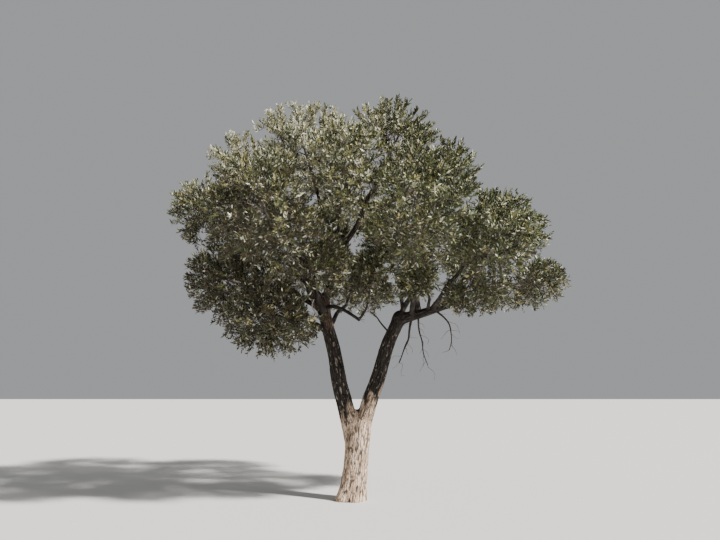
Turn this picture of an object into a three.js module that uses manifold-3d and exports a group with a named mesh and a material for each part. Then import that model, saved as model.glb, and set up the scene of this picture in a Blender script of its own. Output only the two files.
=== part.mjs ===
// A spreading olive tree, about 5.8 m high and 5.8 m wide. The trunk forks low into two limbs, and each
// bough that leaves them ends in one mass of foliage. A mass keeps to its own space in the crown.
// Millimetres, +Z up. The origin is the middle of the trunk's flat cut at ground level.

import * as THREE from "three";
import { mergeVertices } from "three/addons/utils/BufferGeometryUtils.js";
import Module from "manifold-3d";

const wasm = await Module();
wasm.setup();
const { Manifold } = wasm;

const CLEARANCE = 0.3; // left between two pieces that meet
const GOLDEN_TURN = Math.PI * (3 - Math.sqrt(5)); // radians from one twig or leaf to the next
const UP = new THREE.Vector3(0, 0, 1);

// The trunk, from the ground to just over its fork. Its axis starts below the level cut.
const TRUNK = {
  start: [-16, 0, -100],
  via: [62, 0, 515],
  tip: [84, 0, 1130],
  footRadius: 172,
  waistRadius: 160,
  headRadius: 176,
  headBand: [0.54, 0.85], // shares of the trunk over which it widens to its head
  knob: 0.5, // share of the head's radius at its rounded top, in the fork
  flare: 36, // how far the root flare stands out at the ground
  flareHeight: 190, // height over which it dies away
  buttress: 36, // further reach of the one big root, on the left
  buttressHeading: 188,
  roots: 5,
  rootSwell: 14,
  sides: 18,
  rows: 8,
};
const FORK_CUT = 0.275; // share of each limb that belongs to the trunk's own piece
const FORK_ROWS = 3;

// The two limbs of the fork. Each passes through start, via and tip.
const LIMBS = {
  left_limb: {
    start: [12, 0, 850],
    via: [-232, 10, 1850],
    tip: [-440, 50, 2740],
    radius: [124, 84],
    crook: 0.008,
    head: 26, // how much its end swells
  },
  right_limb: {
    start: [122, 0, 850],
    via: [400, 0, 1790],
    tip: [700, -10, 2530],
    radius: [118, 88],
    crook: 0.01,
    head: 8,
  },
};

// Masses of foliage: the middle and the half-widths along X, Y and Z of the space that each keeps to.
const MASSES = {
  left_crown: { middle: [-1580, 50, 4620], half: [780, 920, 860] },
  mid_crown: { middle: [-680, -250, 4900], half: [1080, 920, 870] },
  top_crown: { middle: [560, -250, 4960], half: [880, 920, 900] },
  right_crown: { middle: [1320, 0, 4570], half: [740, 900, 800] },
  back_crown: { middle: [-150, 1200, 4800], half: [1200, 1000, 900] },
  front_centre: { middle: [-100, -1350, 4220], half: [780, 800, 760] },
  left_tip: { middle: [-1990, -100, 4070], half: [800, 860, 640] },
  front_left: { middle: [-1050, -1400, 3700], half: [880, 880, 880] },
  front_right: { middle: [850, -1400, 3780], half: [870, 880, 870] },
  far_right: { middle: [2070, 100, 3770], half: [990, 930, 790] },
  near_right: { middle: [1740, -1050, 3420], half: [800, 850, 700] },
  back_right: { middle: [1350, 1400, 3980], half: [1060, 950, 950] },
  back_left: { middle: [-1300, 1400, 3850], half: [1060, 950, 1010] },
  left_skirt: { middle: [-1640, -150, 3020], half: [850, 930, 740] },
  left_low: { middle: [-1110, -450, 2550], half: [820, 820, 700] },
  right_skirt: { middle: [2460, 0, 3030], half: [800, 850, 470] },
  right_low: { middle: [1680, -500, 2880], half: [740, 690, 460] },
  back_skirt: { middle: [50, 1700, 3330], half: [1040, 800, 660] },
  heart_left: { middle: [-750, 0, 3750], half: [880, 850, 850] },
  heart_right: { middle: [800, -50, 3800], half: [880, 850, 830] },
  low_centre: { middle: [300, -400, 3000], half: [570, 570, 460] },
  low_left: { middle: [-500, -800, 3120], half: [620, 580, 540] },
  low_right: { middle: [900, -520, 3080], half: [620, 620, 440] },
};

// Boughs, under the limb that carries them: at is the share along that limb. A bough passes through
// via and ends where it enters its mass, or at its own tip if it is bare.
const BOUGHS = {
  left_limb: [
    { name: "left_rise", at: 0.97, via: [-900, 330, 3550], mass: "left_crown", radius: [58, 26] },
    { name: "centre_rise", at: 0.985, via: [-110, 50, 3600], mass: "top_crown", radius: [56, 26] },
    { name: "left_arch", at: 0.94, via: [-830, -40, 2850], mass: "left_skirt", radius: [50, 22] },
    { name: "cut_stub", at: 0.96, via: [-490, -30, 2710], tip: [-535, -100, 2810], radius: [76, 70] },
    { name: "front_left_bough", at: 0.9, via: [-640, -760, 3120], mass: "front_left", radius: [42, 20] },
    { name: "back_left_bough", at: 0.87, via: [-760, 760, 3100], mass: "back_left", radius: [46, 22] },
    { name: "back_bough", at: 0.79, via: [-180, 880, 2760], mass: "back_skirt", radius: [38, 20] },
    { name: "left_low_bough", at: 0.72, via: [-500, -120, 2400], mass: "left_low", radius: [40, 20] },
    { name: "dipping_branch", at: 0.95, via: [-190, -170, 2640], tip: [110, -300, 2450], radius: [30, 21] },
    { name: "low_left_bough", at: 0.86, via: [-480, -360, 2760], mass: "low_left", radius: [28, 15] },
    { name: "dead_shoot", at: 0.87, via: [-560, -100, 2620], tip: [-530, -150, 2810], radius: [13, 6] },
  ],
  right_limb: [
    { name: "right_level", at: 0.975, via: [1390, -50, 2690], mass: "right_skirt", radius: [74, 24] },
    { name: "back_right_bough", at: 0.89, via: [980, 760, 3120], mass: "back_right", radius: [46, 22] },
    { name: "bare_shoot", at: 0.8, via: [375, -70, 2490], tip: [262, -120, 2600], radius: [14, 6] },
  ],
  left_arch: [
    { name: "left_tip_bough", at: 0.42, via: [-1380, -110, 3420], mass: "left_tip", radius: [34, 18] },
  ],
  left_rise: [
    { name: "heart_left_bough", at: 0.1, via: [-545, 60, 3040], mass: "heart_left", radius: [30, 17] },
  ],
  centre_rise: [
    { name: "front_centre_bough", at: 0.3, via: [-200, -560, 3750], mass: "front_centre", radius: [38, 20] },
    { name: "mid_crown_bough", at: 0.38, via: [-400, -160, 3960], mass: "mid_crown", radius: [42, 20] },
    { name: "back_crown_bough", at: 0.45, via: [-110, 560, 3960], mass: "back_crown", radius: [44, 22] },
  ],
  right_level: [
    { name: "right_rise", at: 0.2, via: [1010, 130, 3350], mass: "right_crown", radius: [42, 22] },
    { name: "front_right_bough", at: 0.13, via: [860, -660, 3060], mass: "front_right", radius: [36, 20] },
    { name: "heart_right_bough", at: 0.04, via: [740, 40, 2990], mass: "heart_right", radius: [30, 16] },
    { name: "low_right_bough", at: 0.3, via: [1100, -240, 2800], mass: "low_right", radius: [24, 14] },
    { name: "right_diagonal", at: 0.44, via: [1700, 20, 3130], mass: "far_right", radius: [42, 20] },
    { name: "near_right_bough", at: 0.34, via: [1380, -540, 2960], mass: "near_right", radius: [36, 18] },
    { name: "right_low_bough", at: 0.5, via: [1470, -130, 2720], mass: "right_low", radius: [24, 14] },
    { name: "hanging_left", at: 0.13, via: [800, 20, 2190], tip: [680, 20, 1870], radius: [19, 6] },
    { name: "hanging_middle", at: 0.2, via: [1000, -10, 2170], tip: [1090, 0, 1840], radius: [14, 5] },
    { name: "hanging_right", at: 0.36, via: [1425, -30, 2380], tip: [1400, -30, 2050], radius: [15, 5] },
  ],
  dipping_branch: [
    { name: "dipping_rise", at: 0.97, via: [180, -370, 2560], mass: "low_centre", radius: [19, 13] },
  ],
};
const ENTRY = 0.6; // share of a mass's half-width at which its bough ends
const CROOK = 0.022; // how far a limb strays from its arc, as a share of its length
const CROOK_WAVES = [9, 7, 8]; // radians of the crook along a limb, in X, Y and Z
const COLLAR = 0.3; // how much a bough swells where it leaves its limb, as a share of its radius
const COLLAR_LENGTH = 0.09; // share of its length over which the swelling dies away
const HEAD_LENGTH = 0.06;

// How finely limbs are faceted: sides for a thick limb, a bough and a branch, by their first radius.
const LIMB_SIDES = [
  { above: 80, sides: 12 },
  { above: 40, sides: 8 },
  { above: 0, sides: 5 },
];
const ROW_LENGTH = 300; // between the rings of a limb
const ROWS = [3, 8]; // least and most of them

// The gaps right through the crown: each is a round way from near to far, kept clear of leaves.
const GAPS = [
  { near: [50, -2500, 2950], far: [50, 2600, 4140], radius: 75 },
  { near: [1290, -2000, 2810], far: [1890, 2500, 3690], radius: 70 },
];

// A stem runs on from its bough's tip past the middle of the mass.
const STEM = { pastMiddle: 0.35, taper: 0.25, sides: 5, rows: 2 };

// Twigs leave the stem towards even directions.
const TWIG = {
  area: 1.9e6, // surface of the mass, in square millimetres, that one twig serves
  leastRoom: 240, // to where the space ends; with less there is no twig
  radius: [12, 8],
  sides: 3,
  rootBand: [0.12, 0.95], // shares of the stem between which twigs leave it
  leastShare: 0.4, // of the way out of the space, however long a leaf is
  crowded: 0.3, // share of the twig, from its root, where leaves may come near it
  apart: 45, // least distance from a twig to the leaves of others
};

// A leaf stands for a spray. It is a flat diamond, ridged on both faces, its root sunk in the twig.
const LEAF = {
  length: 610,
  width: 305,
  thick: 30,
  widest: 0.46, // share of the length at which it is widest
  sizes: [1, 0.85, 0.7, 0.55], // tried in turn until one fits
  sunk: 2, // how far its root lies past the twig's middle
  perTwig: 6,
  from: 0.3, // share of the twig at which the leaves begin
  spread: 0.95, // radians between a leaf and its twig
  lift: 0.3,
  twist: 0.8,
  turns: [0, 1.1, -1.1, 2.2], // tried in turn about the twig
  apart: 165, // least distance between the spines of two leaves
  spine: [0.35, 0.55, 0.78, 1], // shares of its length that are tested for room
};
const TIP_LEAF = { share: 0.985, spread: 0.12, lift: 0.08 };
const REACH_STEP = 0.03; // by which a twig is shortened until it has room
const LIMB_SPARE = 20; // kept between a twig or leaf and any limb
const SPACE_MARGIN = 6; // kept on each side of the plane between two masses

const END = 1e-3; // share of a tube within which a corner belongs to one of its ends
const MERGE = 1e-3; // corners nearer than this are one

const vector = (numbers) => new THREE.Vector3(...numbers);
const clamp = THREE.MathUtils.clamp;

// A number from -1 to 1 that is always the same for the same pair.
function jitter(index, salt) {
  const s = Math.sin(index * 127.1 + salt * 311.7) * 43758.5453;
  return 2 * (s - Math.floor(s)) - 1;
}

// A limb's middle line: an arc through three points, with a slow crook either side of it. The crook
// is a sum of unequal waves, so that no two limbs stray alike.
class Arc extends THREE.Curve {
  constructor(start, via, tip, crook = 0, salt = 0) {
    super();
    const chord = start.clone().add(tip).multiplyScalar(0.5);
    const bend = via.clone().multiplyScalar(2).sub(chord);
    this.arc = new THREE.QuadraticBezierCurve3(start, bend, tip);
    this.stray = crook * start.distanceTo(tip);
    this.salt = salt;
  }

  getPoint(t, target = new THREE.Vector3()) {
    this.arc.getPoint(t, target);
    const swing = this.stray * Math.sin(Math.PI * t) ** 2;
    const phase = Math.PI * jitter(this.salt, 1);
    target.x += swing * Math.sin(CROOK_WAVES[0] * t + phase);
    target.y += swing * Math.cos(CROOK_WAVES[1] * t + phase);
    target.z += 0.6 * swing * Math.sin(CROOK_WAVES[2] * t - phase);
    return target;
  }

  // A point on the straight lengths that a tube of so many rows is made of.
  onTube(t, rows) {
    const ring = Math.min(Math.floor(t * rows), rows - 1);
    return this.getPoint(ring / rows).lerp(this.getPoint((ring + 1) / rows), t * rows - ring);
  }
}

// The world axis that a direction follows least, from which rings along it are turned evenly.
function leastAxis(direction) {
  const size = direction.toArray().map(Math.abs);
  const least = size.indexOf(Math.min(...size));
  return vector([0, 1, 2].map((i) => (i === least ? 1 : 0)));
}

// A closed tube along a curve between two shares of it. radiusAt(share, angle) gives its outline:
// on an upright tube that leans along X, the angle is the heading from +X.
// grow makes it that much larger all over, as a tool that leaves a clearance.
function tubeGeometry(curve, radiusAt, sides, rows, from = 0, to = 1, grow = 0) {
  const tube = new THREE.CylinderGeometry(1, 1, 1, sides, rows);
  const place = tube.getAttribute("position");
  const reference = leastAxis(curve.getPoint(to).sub(curve.getPoint(from)));
  const corner = new THREE.Vector3();
  for (let i = 0; i < place.count; i++) {
    corner.fromBufferAttribute(place, i);
    const along = corner.y + 0.5;
    const share = from + (to - from) * along;
    const middle = curve.getPoint(share);
    const forward = curve.getTangent(share);
    const side = new THREE.Vector3().crossVectors(reference, forward).normalize();
    const third = new THREE.Vector3().crossVectors(forward, side);
    const angle = Math.atan2(-corner.z, corner.x);
    const radius = Math.hypot(corner.x, corner.z) * (radiusAt(share, angle) + grow);
    middle.addScaledVector(side, radius * Math.cos(angle));
    middle.addScaledVector(third, radius * Math.sin(angle));
    if (along < END) middle.addScaledVector(forward, -grow);
    if (along > 1 - END) middle.addScaledVector(forward, grow);
    place.setXYZ(i, ...middle);
  }
  return tube;
}

// A closed geometry as a solid that can be joined and cut.
function solidOf(geometry) {
  geometry.deleteAttribute("normal");
  geometry.deleteAttribute("uv");
  const merged = mergeVertices(geometry, MERGE);
  return new Manifold(
    new wasm.Mesh({
      numProp: 3,
      vertProperties: new Float32Array(merged.getAttribute("position").array),
      triVerts: new Uint32Array(merged.index.array),
    }),
  );
}

// The largest body of a solid, without the scraps that a cut leaves and with sealed hollows filled.
function mainBody(solid) {
  const bodies = solid.decompose();
  return bodies.reduce((best, body) => (body.volume() > best.volume() ? body : best));
}

function meshOf(name, solid, material) {
  const { vertProperties, triVerts } = solid.getMesh();
  const geometry = new THREE.BufferGeometry();
  geometry.setAttribute("position", new THREE.BufferAttribute(vertProperties, 3));
  geometry.setIndex(new THREE.BufferAttribute(triVerts, 1));
  geometry.computeVertexNormals();
  const mesh = new THREE.Mesh(geometry, material);
  mesh.name = name;
  return mesh;
}

// Radius along a limb: an even taper, a collar where it leaves its parent and a swollen head.
function limbRadius({ radius: [base, end], head = 0, collar = COLLAR }) {
  return (share) => {
    const taper = end + (base - end) * (1 - share);
    const foot = collar * base * Math.exp(-share / COLLAR_LENGTH);
    return taper + foot + head * Math.exp((share - 1) / HEAD_LENGTH);
  };
}

// Radius of the trunk, with its root flare, the big root on the left and the ribs that run up from it.
function trunkRadius(share, angle) {
  const height = Math.max(0, THREE.MathUtils.lerp(TRUNK.start[2], TRUNK.tip[2], share));
  const waisted = TRUNK.waistRadius + (TRUNK.footRadius - TRUNK.waistRadius) * (1 - share) ** 2;
  const widened = THREE.MathUtils.smoothstep(share, ...TRUNK.headBand);
  const neck = (TRUNK.headRadius - TRUNK.waistRadius) * widened;
  const overHead = Math.max(0, share - TRUNK.headBand[1]) / (1 - TRUNK.headBand[1]);
  const dome = 1 - (1 - TRUNK.knob) * overHead ** 2;
  const spread = Math.exp(-height / TRUNK.flareHeight);
  const towardsRoot = Math.cos(angle - THREE.MathUtils.degToRad(TRUNK.buttressHeading));
  const root = TRUNK.buttress * spread * Math.max(0, towardsRoot) ** 3;
  const ribs = TRUNK.rootSwell * spread * Math.cos(TRUNK.roots * angle);
  return (waisted + neck) * dome + TRUNK.flare * spread + root + ribs;
}

// Makes the limbs in order. Each is cut clear of those made before it, so that pieces meet without
// overlap, and keeps its middle line and radius for what grows on it.
function growLimbs(spaces) {
  const grown = new Map();
  const cutters = [];

  const add = (name, limb, start, tip, from) => {
    const curve = new Arc(start, vector(limb.via), tip, limb.crook ?? CROOK, grown.size);
    const radiusAt = limbRadius(limb);
    const { sides } = LIMB_SIDES.find(({ above }) => limb.radius[0] > above);
    const rows = clamp(Math.round(curve.getLength() / ROW_LENGTH), ...ROWS);
    const tube = (grow) => solidOf(tubeGeometry(curve, radiusAt, sides, rows, from, 1, grow));
    const solid = cutters.reduce((left, cutter) => left.subtract(cutter), tube(0));
    cutters.push(tube(CLEARANCE));
    grown.set(name, { curve, radiusAt, solid: mainBody(solid), halo: tube(LIMB_SPARE) });
    return solidOf(tubeGeometry(curve, radiusAt, sides, FORK_ROWS, 0, FORK_CUT));
  };

  const trunkCurve = new Arc(vector(TRUNK.start), vector(TRUNK.via), vector(TRUNK.tip));
  const trunkParts = [solidOf(tubeGeometry(trunkCurve, trunkRadius, TRUNK.sides, TRUNK.rows))];
  for (const [name, limb] of Object.entries(LIMBS)) {
    const start = vector(limb.start);
    const tip = vector(limb.tip);
    const seam = CLEARANCE / start.distanceTo(tip);
    trunkParts.push(add(name, { ...limb, collar: 0 }, start, tip, FORK_CUT + seam));
  }
  for (const [parent, boughs] of Object.entries(BOUGHS)) {
    for (const bough of boughs) {
      const space = spaces.get(bough.mass);
      const tip = space ? space.entryFrom(vector(bough.via)) : vector(bough.tip);
      add(bough.name, bough, grown.get(parent).curve.getPoint(bough.at), tip, 0);
    }
  }
  const level = Manifold.union(trunkParts).trimByPlane([0, 0, 1], 0);
  grown.set("trunk", { solid: mainBody(level), halo: mainBody(level) });
  return grown;
}

// The space that one mass keeps to: an ellipsoid, cut by a plane towards each of its neighbours.
class Space {
  constructor({ middle, half }) {
    this.middle = vector(middle);
    this.half = vector(half);
    this.weight = (half.reduce((sum, h) => sum + h) / 3) ** 2;
  }

  // Distance from the middle as a share of the half-widths: 1 on the ellipsoid.
  depth(point) {
    return point.clone().sub(this.middle).divide(this.half).length();
  }

  // A point at a share of the half-widths from the middle, in a direction.
  out(direction, share) {
    return direction.clone().multiply(this.half).multiplyScalar(share).add(this.middle);
  }

  // Where a bough that comes from a point ends.
  entryFrom(point) {
    const towards = point.clone().sub(this.middle).divide(this.half).normalize();
    return this.out(towards, ENTRY);
  }

  // How near a point lies to this mass against its size; the smallest of all masses owns the point.
  claim(point) {
    return point.distanceToSquared(this.middle) - this.weight;
  }

  owns(point, spaces) {
    const mine = this.claim(point);
    return spaces.every((other) => {
      const apart = 2 * SPACE_MARGIN * this.middle.distanceTo(other.middle);
      return other === this || mine + apart < other.claim(point);
    });
  }

  // The ellipsoid's surface, by a well-known close formula.
  surface() {
    const power = 1.6;
    const [a, b, c] = this.half.toArray().map((h) => h ** power);
    return 4 * Math.PI * ((a * b + a * c + b * c) / 3) ** (1 / power);
  }
}

// True where a point is in one of the gaps through the crown.
function inGap(point) {
  return GAPS.some(({ near, far, radius }) => {
    const axis = new THREE.Line3(vector(near), vector(far));
    return axis.closestPointToPoint(point, true, new THREE.Vector3()).distanceTo(point) < radius;
  });
}

// One leaf: an octahedron drawn out from its root along forward, with its faces towards flat.
function leafGeometry(root, forward, flat, length) {
  const leaf = new THREE.OctahedronGeometry(1, 0);
  const place = leaf.getAttribute("position");
  const side = new THREE.Vector3().crossVectors(forward, flat).normalize();
  const face = new THREE.Vector3().crossVectors(side, forward);
  const corner = new THREE.Vector3();
  for (let i = 0; i < place.count; i++) {
    corner.fromBufferAttribute(place, i);
    const along = LEAF.widest + corner.y * (corner.y > 0 ? 1 - LEAF.widest : LEAF.widest);
    const made = root.clone().addScaledVector(forward, along * length);
    made.addScaledVector(side, corner.x * 0.5 * LEAF.width);
    made.addScaledVector(face, corner.z * 0.5 * LEAF.thick);
    place.setXYZ(i, ...made);
  }
  return leaf;
}

// Where twig number k of a mass points, as an even spread over all directions.
function twigHeading(k, twigs, salt) {
  const rise = 1 - (2 * k + 1) / twigs;
  const turn = k * GOLDEN_TURN + salt;
  const level = Math.sqrt(1 - rise * rise);
  return new THREE.Vector3(level * Math.cos(turn), level * Math.sin(turn), rise);
}

// The stem of a mass: it goes on from its bough's tip, in the same direction, past the middle.
function stemOf(space, bough) {
  const heading = bough.curve.getTangent(1);
  const start = bough.curve.getPoint(1).addScaledVector(heading, CLEARANCE);
  const inward = space.middle.clone().sub(start);
  const tip = space.middle.clone().addScaledVector(inward, STEM.pastMiddle);
  const bend = start.clone().addScaledVector(heading, 0.5 * inward.length());
  const via = start.clone().add(tip).multiplyScalar(0.25).addScaledVector(bend, 0.5);
  const radiusAt = (share) => bough.radiusAt(1) * (1 - STEM.taper * share);
  return { curve: new Arc(start, via, tip), radiusAt, forward: inward.normalize() };
}

// Twigs from the stem out to where the space ends, less the leaf at the tip.
function twigsOf(space, stem, free, salt) {
  const count = Math.round(space.surface() / TWIG.area);
  const [firstRoot, lastRoot] = TWIG.rootBand;
  const twigs = [];
  for (let k = 0; k < count; k++) {
    const towards = twigHeading(k, count, salt);
    let reach = 1;
    while (reach > 0 && !free(space.out(towards, reach))) reach -= REACH_STEP;
    const room = space.out(towards, reach).distanceTo(space.middle);
    const tip = space.out(towards, reach * Math.max(1 - LEAF.length / room, TWIG.leastShare));
    const place = 0.5 + 0.5 * towards.dot(stem.forward);
    const root = stem.curve.onTube(THREE.MathUtils.lerp(firstRoot, lastRoot, place), STEM.rows);
    if (room > TWIG.leastRoom) twigs.push(new THREE.LineCurve3(root, tip));
  }
  return twigs;
}

// Where leaf number j of a twig is: its root, the way that it points, the way that its faces look
// and the way to its edge.
function leafPlace(twig, j, turn, salt) {
  const atTip = j === LEAF.perTwig - 1;
  const share = THREE.MathUtils.lerp(LEAF.from, TIP_LEAF.share, j / (LEAF.perTwig - 1));
  const along = twig.getTangent(share);
  const across = new THREE.Vector3().crossVectors(along, leastAxis(along)).normalize();
  across.applyAxisAngle(along, turn);
  const spread = atTip ? TIP_LEAF.spread : LEAF.spread;
  const ahead = along.clone().multiplyScalar(Math.cos(spread)).addScaledVector(across, Math.sin(spread));
  ahead.addScaledVector(UP, atTip ? TIP_LEAF.lift : LEAF.lift).normalize();
  const flat = new THREE.Vector3().crossVectors(ahead, across).normalize();
  flat.applyAxisAngle(ahead, LEAF.twist * jitter(j, salt));
  const edge = new THREE.Vector3().crossVectors(ahead, flat).normalize();
  const root = twig.getPoint(share).addScaledVector(ahead, -LEAF.sunk);
  return { root, ahead, flat, edge };
}

// True where a leaf of this length stays in the space, and clear of the twigs and leaves before it.
function leafFits({ root, ahead, flat, edge }, length, free, taken) {
  const pointAt = (part, sideways = 0, faceways = 0) => {
    const point = root.clone().addScaledVector(ahead, part * length);
    return point.addScaledVector(edge, sideways * LEAF.width).addScaledVector(flat, faceways * LEAF.thick);
  };
  const spine = LEAF.spine.map((part) => pointAt(part));
  const sides = [0.5, -0.5].flatMap((half) => [pointAt(LEAF.widest, half), pointAt(LEAF.widest, 0, half)]);
  const nearest = new THREE.Vector3();
  const gapTo = (line, point) => line.closestPointToPoint(point, true, nearest).distanceTo(point);
  const isApart = (point) => taken.every(({ line, apart }) => gapTo(line, point) > apart);
  return [...spine, ...sides].every(free) && spine.every(isApart);
}

// Grows one mass: its stem, the twigs on that and the leaves on them, fused into one solid. What
// would touch a limb, or leave the space, is left out.
function growMass(space, bough, spaces, halo, salt) {
  const free = (point) => space.depth(point) < 1 && space.owns(point, spaces) && !inGap(point);
  const isClear = (solid) => halo.intersect(solid).isEmpty();
  const stem = stemOf(space, bough);
  const parts = [solidOf(tubeGeometry(stem.curve, stem.radiusAt, STEM.sides, STEM.rows))];
  const twigRadius = (share) => THREE.MathUtils.lerp(...TWIG.radius, share);
  const grown = twigsOf(space, stem, free, salt)
    .map((curve) => ({ curve, solid: solidOf(tubeGeometry(curve, twigRadius, TWIG.sides, 1)) }))
    .filter(({ solid }) => isClear(solid));
  parts.push(...grown.map(({ solid }) => solid));

  const lineOf = (start, end, apart) => ({ line: new THREE.Line3(start, end), apart });
  const taken = grown.map(({ curve }) => lineOf(curve.getPoint(TWIG.crowded), curve.getPoint(1), TWIG.apart));
  const options = LEAF.sizes.flatMap((size) => LEAF.turns.map((turn) => [size * LEAF.length, turn]));
  grown.forEach(({ curve }, k) => {
    const own = taken[k];
    for (let j = 0; j < LEAF.perTwig; j++) {
      const others = taken.filter((one) => one !== own);
      for (const [length, turn] of options) {
        const place = leafPlace(curve, j, turn + j * GOLDEN_TURN + k, k + salt);
        if (!leafFits(place, length, free, others)) continue;
        const leaf = solidOf(leafGeometry(place.root, place.ahead, place.flat, length));
        if (!isClear(leaf)) continue;
        const start = place.root.clone().addScaledVector(place.ahead, LEAF.spine[0] * length);
        const end = place.root.clone().addScaledVector(place.ahead, length);
        taken.push(lineOf(start, end, LEAF.apart));
        parts.push(leaf);
        break;
      }
    }
  });
  return mainBody(Manifold.union(parts));
}

const bark = new THREE.MeshStandardMaterial({ color: 0x8d8072, roughness: 0.95, metalness: 0 });
const youngBark = new THREE.MeshStandardMaterial({ color: 0x5f564b, roughness: 0.9, metalness: 0 });
const foliage = new THREE.MeshStandardMaterial({ color: 0x6f7352, roughness: 0.6, metalness: 0 });

const spaces = new Map(Object.entries(MASSES).map(([name, mass]) => [name, new Space(mass)]));
const limbs = growLimbs(spaces);
const halo = Manifold.union([...limbs.values()].map((limb) => limb.halo));

const tree = new THREE.Group();
for (const [name, limb] of limbs) {
  tree.add(meshOf(name, limb.solid, name === "trunk" || name in LIMBS ? bark : youngBark));
}
const boughs = Object.values(BOUGHS).flat();
[...spaces].forEach(([name, space], index) => {
  const bough = boughs.find((one) => one.mass === name);
  const solid = growMass(space, limbs.get(bough.name), [...spaces.values()], halo, index);
  tree.add(meshOf("foliage_" + name, solid, foliage));
});

export default tree;
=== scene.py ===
"""The looks of a spreading olive tree, made round its solids: fissured bark over the trunk and boughs,
and a crown of twigs and leaves that grows on from them by the solids' own rule.
Metres, +Z up. The origin is the middle of the trunk's flat cut at ground level."""
import math
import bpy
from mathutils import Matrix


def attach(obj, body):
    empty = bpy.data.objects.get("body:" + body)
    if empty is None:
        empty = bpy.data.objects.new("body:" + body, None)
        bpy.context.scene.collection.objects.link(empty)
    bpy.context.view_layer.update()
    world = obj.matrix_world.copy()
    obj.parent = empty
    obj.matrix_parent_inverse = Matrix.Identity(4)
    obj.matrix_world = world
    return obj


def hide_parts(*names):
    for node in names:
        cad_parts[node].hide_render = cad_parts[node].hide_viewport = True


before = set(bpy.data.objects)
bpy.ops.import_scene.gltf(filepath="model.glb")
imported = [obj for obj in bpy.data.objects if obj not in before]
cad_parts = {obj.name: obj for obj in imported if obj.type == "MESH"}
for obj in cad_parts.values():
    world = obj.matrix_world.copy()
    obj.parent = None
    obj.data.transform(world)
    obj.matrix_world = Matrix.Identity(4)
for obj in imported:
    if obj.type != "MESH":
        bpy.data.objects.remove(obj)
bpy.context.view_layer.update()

from types import SimpleNamespace as Rule

import bmesh
import bpy
import numpy as np
from mathutils import noise
from mathutils.kdtree import KDTree
from numpy.linalg import norm

SEED = 11
TINY = 1e-9
UP = np.array((0.0, 0.0, 1.0))
GOLDEN_TURN = math.pi * (3 - math.sqrt(5))  # radians from one twig to the next
HASH = (127.1, 311.7, 43758.5453)  # scatters whole numbers
WHITE, BLACK = (1, 1, 1), (0, 0, 0)

# The trunk, as the solids have it.
TRUNK = Rule(
    start=(-0.016, 0, -0.1), via=(0.062, 0, 0.515), tip=(0.084, 0, 1.13), foot_radius=0.172,
    waist_radius=0.16, head_radius=0.176,
    head_band=(0.54, 0.85),  # shares of the trunk over which it widens to its head
    knob=0.5,  # share of the head's radius at its rounded top, in the fork
    flare=0.036,  # how far the root flare stands out at the ground
    flare_height=0.19,  # height over which it dies away
    buttress=0.036,  # further reach of the one big root
    buttress_heading=math.radians(188), roots=5, root_swell=0.014,
)
# The limbs: start, a point on the way, tip, radii at both ends, crook, and how much the end swells.
LIMBS = {
    "left_limb": ((0.012, 0, 0.85), (-0.232, 0.01, 1.85), (-0.44, 0.05, 2.74), (0.124, 0.084), 0.008, 0.026),
    "right_limb": ((0.122, 0, 0.85), (0.4, 0, 1.79), (0.7, -0.01, 2.53), (0.118, 0.088), 0.01, 0.008),
}

# The space that each mass of foliage keeps to: its middle and its half-widths.
MASSES = {
    "left_crown": (-1.58, 0.05, 4.62, 0.78, 0.92, 0.86),
    "mid_crown": (-0.68, -0.25, 4.9, 1.08, 0.92, 0.87),
    "top_crown": (0.56, -0.25, 4.96, 0.88, 0.92, 0.9),
    "right_crown": (1.32, 0, 4.57, 0.74, 0.9, 0.8),
    "back_crown": (-0.15, 1.2, 4.8, 1.2, 1, 0.9),
    "front_centre": (-0.1, -1.35, 4.22, 0.78, 0.8, 0.76),
    "left_tip": (-1.99, -0.1, 4.07, 0.8, 0.86, 0.64),
    "front_left": (-1.05, -1.4, 3.7, 0.88, 0.88, 0.88),
    "front_right": (0.85, -1.4, 3.78, 0.87, 0.88, 0.87),
    "far_right": (2.07, 0.1, 3.77, 0.99, 0.93, 0.79),
    "near_right": (1.74, -1.05, 3.42, 0.8, 0.85, 0.7),
    "back_right": (1.35, 1.4, 3.98, 1.06, 0.95, 0.95),
    "back_left": (-1.3, 1.4, 3.85, 1.06, 0.95, 1.01),
    "left_skirt": (-1.64, -0.15, 3.02, 0.85, 0.93, 0.74),
    "left_low": (-1.11, -0.45, 2.55, 0.82, 0.82, 0.7),
    "right_skirt": (2.46, 0, 3.03, 0.8, 0.85, 0.47),
    "right_low": (1.68, -0.5, 2.88, 0.74, 0.69, 0.46),
    "back_skirt": (0.05, 1.7, 3.33, 1.04, 0.8, 0.66),
    "heart_left": (-0.75, 0, 3.75, 0.88, 0.85, 0.85),
    "heart_right": (0.8, -0.05, 3.8, 0.88, 0.85, 0.83),
    "low_centre": (0.3, -0.4, 3, 0.57, 0.57, 0.46),
    "low_left": (-0.5, -0.8, 3.12, 0.62, 0.58, 0.54),
    "low_right": (0.9, -0.52, 3.08, 0.62, 0.62, 0.44),
}

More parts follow.
